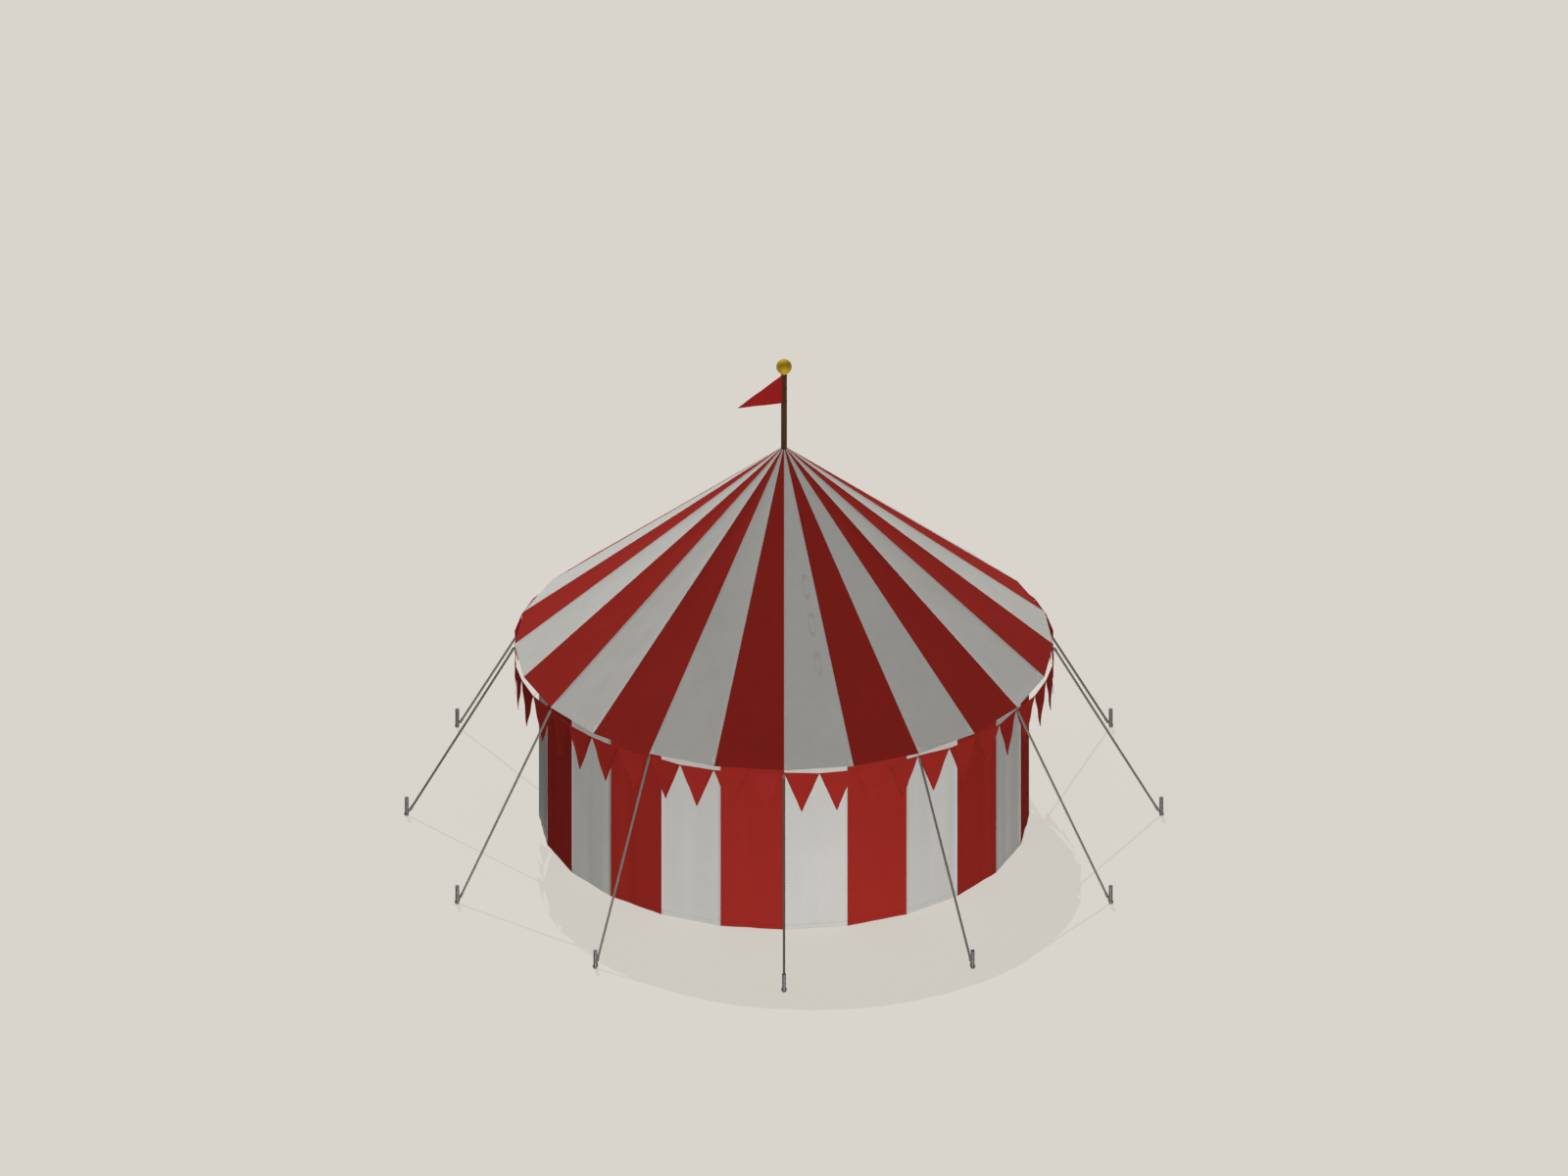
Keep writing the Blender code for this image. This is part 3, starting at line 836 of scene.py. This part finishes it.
def add_rope_patch(shape, angle):
    """Adds a patch sewn to the eave band on both sides of a becket's end, and bulged round the cord."""
    down = (outward(angle) - ROOF_RISE * UP) / ROOF_SLANT
    lift = (ROOF_RISE * outward(angle) + UP) / ROOF_SLANT
    fall = math.tan(HALF_ANGLE) * ROOF_RISE / ROOF_SLANT
    bulge = BECKET_RADIUS + PATCH_CLOTH / 2 + PLY
    turns = np.radians(np.linspace(-80, 80, 13))
    ends = np.linspace(PATCH_WIDTH / 2, bulge + 0.004, 4)
    flats = np.stack([ends, -fall * ends - PATCH_CLOTH / 2 - PLY], -1)
    arc = np.stack([bulge * np.sin(turns), -BECKET_RADIUS - bulge * np.cos(turns)], -1)
    section = np.concatenate([flats * (-1, 1), arc, flats[::-1]])
    ahead = np.gradient(section, axis=0)
    ahead /= np.linalg.norm(ahead, axis=1, keepdims=True)
    normals = np.stack([-ahead[:, 1], ahead[:, 0]], -1)
    bend = becket_bend()[0]
    start, middle = under_band(bend - BECKET_TUCK), bend - 0.006
    rows = np.linspace(0, (middle - start[0]) * ROOF_SLANT, 9)
    base = start[0] * outward(angle) + start[1] * UP + rows[:, None, None] * down
    frame_of = np.stack([sideways(angle), lift])
    layers = [base + (section + side * PATCH_CLOTH / 2 * normals) @ frame_of for side in (1, -1)]
    width = path_lengths(section)
    flat = lay_out(width, rows)
    seam = np.minimum(flat[..., 0], width[-1] - flat[..., 0])
    hem = np.minimum(flat[..., 1], rows[-1] - flat[..., 1])
    add_shell(shape, layers, flat, [seam, seam], hem)


def wall_relief(number):
    """How far a wall panel stands out: slow folds that hang from the eave and open towards the ground."""
    random = np.random.default_rng(300 + number)
    waves = [(k, random.uniform(0.5, 1.0), random.uniform(0, 2 * math.pi)) for k in (3, 4, 5, 7)]
    lean = random.uniform(-0.5, 0.5)

    def relief(t, x, y):
        folds = sum(
            size * np.cos(k * math.pi / 2 * t + phase + lean * k * 0.3 * (y - 1)) / k
            for k, size, phase in waves
        )
        hang = 0.45 + 0.55 * smooth(y / 2)
        soft = ripples(random, x, y * 0.7, 6, (0.3, 0.8))
        return (WALL_FOLDS * folds * hang + WALL_RIPPLES * soft) * (1 - t**6) * smooth(y / 0.12)

    return relief


def make_wall(canvas):
    """The wall panels, white and red in turn, lapped as the gores are."""
    top = roof_height(WALL_RADIUS, CANVAS + WALL_ROOM)
    width = panel_width(WALL_RADIUS)
    for number in range(SIDES):
        colour, angle, seam, _ = stripe(number)
        panel = cloth_piece(
            numbered(f"wall_{colour}_panel", number // 2 + 1), canvas[colour],
            WALL_RADIUS * math.cos(HALF_ANGLE) * outward(angle) + top * UP,
            sideways(angle), -UP, (width, width), top - FOOT_ROOM,
            cloth=CANVAS, grid=(44, 24), seam=seam, hems=(WALL_HEAD, WALL_HEM),
            relief=wall_relief(number),
        )
        keep(panel, f"{colour}_canvas", numbered("wall_bay", number // 2 + 1))


def pennant_relief(random):
    """A gentle curl, more towards the free tip."""
    curl = random.uniform(-1, 1)
    twist = random.uniform(-1, 1)
    phase = random.uniform(0, 2 * math.pi)

    def relief(t, x, y):
        loose = (y / 0.42) ** 1.6
        wave = PENNANT_WAVE * np.sin(y * 2 * math.pi / 0.3 + phase) * smooth(y / 0.1)
        return loose * (PENNANT_CURL * curl + PENNANT_TWIST * twist * x) + wave * (0.4 + 0.6 * t * t)

    return relief


def tape_pull(step):
    """How far the tape is pulled in at a corner, counted from a guy rope, to pass inside the rope."""
    return 0 if step % PENNANTS_PER_BAY else TAPE_RADIUS - TAPE_RADIUS_AT_ROPE


def add_tape_tie(shape, angle):
    """Adds a thin cord, sewn flat under the eave band, that comes out to the tape and is sewn behind it."""
    to_plane = math.cos(HALF_ANGLE)
    end = EAVE_RADIUS - BAND_SETBACK - 0.002
    seam_end = under_band(end, TIE_RADIUS) * (to_plane, 1)
    seam_start = under_band(end - TIE_SEAM, TIE_RADIUS) * (to_plane, 1)
    foot = TAPE_RADIUS - TAPE_THICKNESS - TIE_RADIUS
    low, high = PENNANT_TOP - TAPE_HEIGHT + 0.001, PENNANT_TOP - 0.001
    points = [seam_start, seam_end, (foot, high), (foot, low)]
    line = np.array([distance * outward(angle) + height * UP for distance, height in points])
    add_tube(shape, evenly(line, 0.004), TIE_RADIUS, 8, seam=FAR, hem=FAR)


def make_bunting(red):
    """Four lengths of tape, sewn with pennants and held to the eave band by short ties."""
    head = PENNANT_TOP - TAPE_HEIGHT * 0.6
    drop = head - PENNANT_TIP
    taper = drop / (PENNANT_TOP - PENNANT_TIP)
    inner, low = TAPE_RADIUS - TAPE_THICKNESS, PENNANT_TOP - TAPE_HEIGHT
    tape_profile = [(TAPE_RADIUS, PENNANT_TOP), (TAPE_RADIUS, low), (inner, low), (inner, PENNANT_TOP)]
    for quarter, quarter_name in enumerate(QUARTERS):
        random = np.random.default_rng(500 + quarter)
        first = quarter * PENNANTS_PER_QUARTER
        steps = range(first, first + PENNANTS_PER_QUARTER + 1)
        corners = [(step * PENNANT_ANGLE, tape_pull(step)) for step in steps]
        tape = Shape("seam", "hem")
        add_band(tape, tape_profile, corners)
        pennants = Shape("seam", "hem")
        middles = [(TAPE_RADIUS - TAPE_THICKNESS / 2 - pull) * outward(angle) for angle, pull in corners]
        for start, end in zip(middles, middles[1:]):
            width = np.linalg.norm(end - start)
            across = (end - start) / width
            add_panel(
                pennants,
                (start + end) / 2 + PENNANT_CLOTH / 2 * np.cross(-UP, across) + head * UP,
                across, -UP, (width * taper, PENNANT_TIP_WIDTH), drop,
                cloth=PENNANT_CLOTH, grid=(14, 8), seam=PENNANT_HEM, fold=PENNANT_FOLD, hems=(0, 0),
                relief=pennant_relief(random),
            )
        first_panel = quarter * PANELS_PER_QUARTER
        for panel in range(first_panel + 1, first_panel + PANELS_PER_QUARTER, 2):
            add_tape_tie(tape, (panel + 0.5) * PANEL_ANGLE)
        node = f"bunting_{quarter_name}"
        tape = keep(tape.object(f"bunting_tape_{quarter_name}", red, 30), "red_canvas", node)
        pennants = keep(pennants.object(f"pennants_{quarter_name}", red), "red_canvas", node)
        for piece in (tape, pennants):
            piece.visible_diffuse = False


def make_guy_rope(number, hemp, twine):
    """A taut guy rope and its becket, with an eye round the stake and twine served round each end."""
    angle = number * GUY_ANGLE
    out, across = outward(angle), sideways(angle)

    def at(distance, side, height):
        return distance * out + side * across + height * UP

    def on_rope(height):
        return at(rope_distance(height), 0, height)

    rope = Shape("crest")
    standing = evenly(np.array([on_rope(ROPE_TOP[1]), on_rope(THROAT_HEIGHT)]), ROPE_LAY / 11)
    add_laid_rope(rope, standing, ROPE_RADIUS, ROPE_LAY)

    bend, bend_height = becket_bend()
    sewn, turn_in = [
        at(radius, 0, under_band(radius, BECKET_RADIUS)[1])
        for radius in (bend - BECKET_TUCK, bend - 0.012)
    ]
    corner = rounded_corner(turn_in, at(bend, 0, bend_height), on_rope(bend_height - 0.015))
    becket = evenly(np.concatenate([[sewn], corner, [on_rope(ROPE_TOP[1] - BECKET_SPLICE)]]), 0.003)
    add_laid_rope(rope, becket, BECKET_RADIUS, BECKET_LAY)

    reach = STAKE_RADIUS + EYE_ROPE_RADIUS + 0.0003
    near = on_rope(LOW_SERVING[0])
    eye = [near]
    for turn in np.linspace(-EYE_OPENING, EYE_OPENING, 11):
        around = math.radians(turn)
        height = EYE_HEIGHT - EYE_TILT * math.cos(around)
        eye.append(at(STAKE_CIRCLE + reach * math.cos(around), reach * math.sin(around), height))
    eye = smooth_path([*eye, near], 0.005)
    add_laid_rope(rope, eye, EYE_ROPE_RADIUS, EYE_LAY)
    node = numbered("guy_rope", number + 1)
    keep(rope.object(numbered("guy_rope_strands", number + 1), hemp, 60), "hemp_rope", node)

    serving = Shape("crest")
    for low, high in (LOW_SERVING, HIGH_SERVING):
        add_winding(serving, on_rope(low), on_rope(high), ROPE_RADIUS * 0.985, TWINE_RADIUS)
    keep(serving.object(numbered("rope_serving", number + 1), twine, 60), "hemp_rope", node)


def make_stake(number, iron):
    """A forged stake: a round bar with a beaten head."""
    place = STAKE_CIRCLE * outward(number * GUY_ANGLE)
    head, top = STAKE_RADIUS + STAKE_SPREAD, STAKE_HEIGHT - STAKE_CROWN
    profile = [(0.004, STAKE_HEIGHT), (head - 0.006, top)]
    for turn in np.radians((0, 30, 60, 90)):
        profile.append((head - STAKE_EDGE * (1 - math.sin(turn)), top - STAKE_EDGE * (1 - math.cos(turn))))
    for depth in np.linspace(0, STAKE_HEIGHT - 0.0065, 30):
        flare = STAKE_FLARE * math.exp(-depth / FLARE_FADE)
        profile.append((STAKE_RADIUS - STAKE_WASTE + flare, STAKE_HEIGHT - 0.006 - depth))

    def dent(point):
        beat = noise.noise(Vector(point) * 55 + Vector((number * 3.7, 0, 0)))
        slow = noise.noise(Vector(point) * 17 + Vector((0, number * 5.1, 0)))
        return 0.0005 * beat + 0.0004 * slow

    name = numbered("forged_stake", number + 1)
    stake = turned(name, profile, 40, iron, dent, 50, place[:2])
    keep(stake, "stake_iron", numbered("guy_stake", number + 1))


def make_pole(wood):
    """A shaved pole, nearly round, that runs from the ground up into the ball."""
    def dent(point):
        return 0.0006 * noise.noise(Vector((point[0] * 30, point[1] * 30, point[2] * 1.3)))

    heights = np.linspace(POLE_TOP, POLE_EDGE, 110)
    end, side = POLE_RADIUS - POLE_EDGE, POLE_RADIUS - POLE_WASTE
    profile = [(end, POLE_TOP)]
    profile += [(side, height - POLE_EDGE) for height in heights[:-1]]
    profile += [(side, POLE_EDGE), (end, 0.0)]
    pole = turned("shaved_pole", profile, 40, wood, dent, 50)
    return keep(pole, "dark_wood", "centre_pole")


def make_ball(gilt):
    """A gilt ball beaten from two halves, with a fine joint round its middle and a lip at its socket."""
    profile = []
    mouth = math.degrees(math.acos(-math.sqrt(1 - (POLE_RADIUS / BALL_RADIUS) ** 2)))
    for angle in np.linspace(1.5, mouth, 72):
        turn = math.radians(angle)
        radius = BALL_RADIUS - BALL_JOINT * math.exp(-(((angle - 90) / 1.1) ** 2))
        profile.append((radius * math.sin(turn), BALL_HEIGHT + radius * math.cos(turn)))
    rim, low = profile[-1]
    lip = rim + BALL_LIP
    profile += [(lip, low - 0.001), (lip, low - 0.004), (rim, low - 0.005)]

    def dent(point):
        return 0.0004 * noise.noise(Vector(point) * 30)

    ball = turned("gilt_ball", profile, 72, gilt, dent, 35)
    return keep(ball, "gilt_metal", "finial_ball")


def make_flag(crimson, cord_hemp):
    """The long flag at the pole's top, in a light breeze, lashed to the pole by its hoist."""
    out, across = outward(FLAG_ANGLE), sideways(FLAG_ANGLE)
    middle = (FLAG_LOW + FLAG_HIGH) / 2
    length = FLAG_FLY - FLAG_HOIST

    def relief(t, x, y):
        swell = smooth(y / 0.18)
        wave = np.sin((y - 0.35 * x) * 2 * math.pi / 0.34 + 0.6) * (0.0012 + 0.0018 * y / length)
        ripple = 0.0009 * np.sin((y + 0.8 * x) * 2 * math.pi / 0.11 + 2)
        return swell * (wave + ripple * (1 - y / length))

    flag = cloth_piece(
        "pole_flag", crimson,
        FLAG_HOIST * out + middle * UP + FLAG_CLOTH / 2 * across,
        UP, out, (FLAG_HIGH - FLAG_LOW, FLAG_TIP_WIDTH), length,
        cloth=FLAG_CLOTH, grid=(56, 20), seam=FLAG_HEM, fold=FLAG_FOLD, hems=(FLAG_HEAD, 0),
        relief=relief,
    )
    keep(flag, "crimson_cloth", "flag")
    lashing = Shape("crest")
    turns = np.linspace(0, 2 * math.pi * 2, 60)
    for height in (FLAG_LOW + LASHING_INSET, middle, FLAG_HIGH - LASHING_INSET):
        loop = []
        for turn in turns:
            climb = (turn / turns[-1] - 0.5) * LASHING_CLIMB * LASHING_RADIUS
            around = outward(FLAG_ANGLE + math.degrees(turn))
            loop.append((POLE_RADIUS + LASHING_RADIUS) * around + (height + climb) * UP)
        add_tube(lashing, np.array(loop), LASHING_RADIUS, 8, crest=0.9)
    keep(lashing.object("flag_lashings", cord_hemp, 60), "hemp_rope", "flag")
    return flag


# The studio

def make_stage():
    """A plain pale floor that takes a faint shadow, and an even backdrop for views from low down."""
    bpy.ops.mesh.primitive_circle_add(vertices=96, radius=FLOOR_REACH, fill_type="NGON")
    floor = bpy.context.object
    floor.name = "floor"
    floor.data.materials.append(plain_emission("floor_paper", shade(FLOOR, FLOOR_GLOW), FLOOR_DIFFUSE))
    bpy.ops.mesh.primitive_ico_sphere_add(subdivisions=4, radius=BACKDROP_REACH)
    backdrop = bpy.context.object
    backdrop.name = "backdrop"
    backdrop.data.materials.append(plain_emission("backdrop_paper", FLOOR))
    for thing in (floor, backdrop):
        thing.visible_diffuse = False
        thing.visible_shadow = False
        thing.visible_transmission = False
    backdrop.visible_glossy = False


def add_light(name, kind, strength, location, **settings):
    light = bpy.data.lights.new(name, kind)
    light.energy = strength
    for setting, value in settings.items():
        setattr(light, setting, value)
    made = bpy.data.objects.new(name, light)
    made.location = location
    made.rotation_euler = Vector(location).to_track_quat("Z", "Y").to_euler()
    bpy.context.scene.collection.objects.link(made)


def make_lights():
    """A key from behind and above, a wide lamp from low in front, and a dim sky."""
    add_light("key", "SUN", SUN_STRENGTH, SUN_PLACE, angle=math.radians(SUN_SPREAD))
    front = LAMP_DISTANCE * outward(LAMP_ANGLE) + LAMP_HEIGHT * UP
    add_light("front", "AREA", LAMP_STRENGTH, front, shape="DISK", size=4.0, use_shadow=False)
    world = bpy.data.worlds.new("sky")
    bpy.context.scene.world = world
    sky = Nodes(world)
    direction = sky.add("ShaderNodeTexCoord").outputs["Generated"]
    parts = sky.add("ShaderNodeSeparateXYZ", {"Vector": direction}).outputs
    above = sky.between(parts["Z"], -HORIZON_BLUR, HORIZON_BLUR, 0.0, SKY_STRENGTH)
    left = sky.math("MULTIPLY_ADD", parts["X"], -SKY_FALL, 1.0)
    background = sky.tree.nodes["Background"]
    background.inputs["Color"].default_value = (1, 1, 1, 1)
    sky.feed(background.inputs["Strength"], sky.math("MULTIPLY", above, left))


def make_camera():
    scene = bpy.context.scene
    camera = bpy.data.cameras.new("photo_view")
    camera.type = "ORTHO"
    camera.ortho_scale = VIEW_WIDTH
    camera.clip_end = 500
    made = bpy.data.objects.new("photo_view", camera)
    tilt = math.radians(VIEW_ELEVATION)
    back = Vector((0, -math.cos(tilt), math.sin(tilt)))
    made.location = Vector(VIEW_CENTRE) + back * VIEW_DISTANCE
    made.rotation_euler = back.to_track_quat("Z", "Y").to_euler()
    scene.collection.objects.link(made)
    scene.camera = made
    scene.view_settings.view_transform = "Standard"


def make_tent():
    """Every piece of the tent. What stands above the roof casts no shadow, as in the photograph."""
    rows = ((0.0025, 0.0105), (0.004, 0.041))
    canvas = {
        "white": cloth_material("white_canvas_cloth", WHITE, WHITE_THREAD, 0.0016, rows),
        "red": cloth_material("red_canvas_cloth", RED, RED_THREAD, 0.0016, rows),
    }
    pennant = cloth_material("pennant_cloth", RED, RED_THREAD, 0.0012, ((0.0065,), (0.004,)), 0.045)
    crimson = cloth_material("flag_cloth", CRIMSON, RED_THREAD, 0.0011, ((0.0095,), (0.0035, 0.018)), 0.04)
    twine = hemp_material("waxed_twine", shade(HEMP_DARK, 0.95), shade(HEMP_LIGHT, 0.9))
    cord = hemp_material("tarred_cord", CORD_DARK, CORD_LIGHT)
    make_roof(canvas)
    make_roof_lining(canvas)
    make_wall(canvas)
    make_bunting(pennant)
    iron = iron_material("forged_iron")
    # Each rope's hemp is made paler or darker by its own share of painted shade.
    for number, tone in enumerate(ROPE_PAINTED_SHADE):
        name = numbered("laid_hemp_painted_shade", number + 1)
        hemp = hemp_material(name, shade(HEMP_DARK, tone), shade(HEMP_LIGHT, tone))
        make_guy_rope(number, hemp, twine)
        make_stake(number, iron)
    pole = make_pole(wood_material("oiled_wood"))
    ball = make_ball(gilt_material("gold_leaf"))
    for piece in (pole, ball, make_flag(crimson, cord)):
        piece.visible_shadow = False


make_camera()
make_stage()
make_lights()
make_tent()
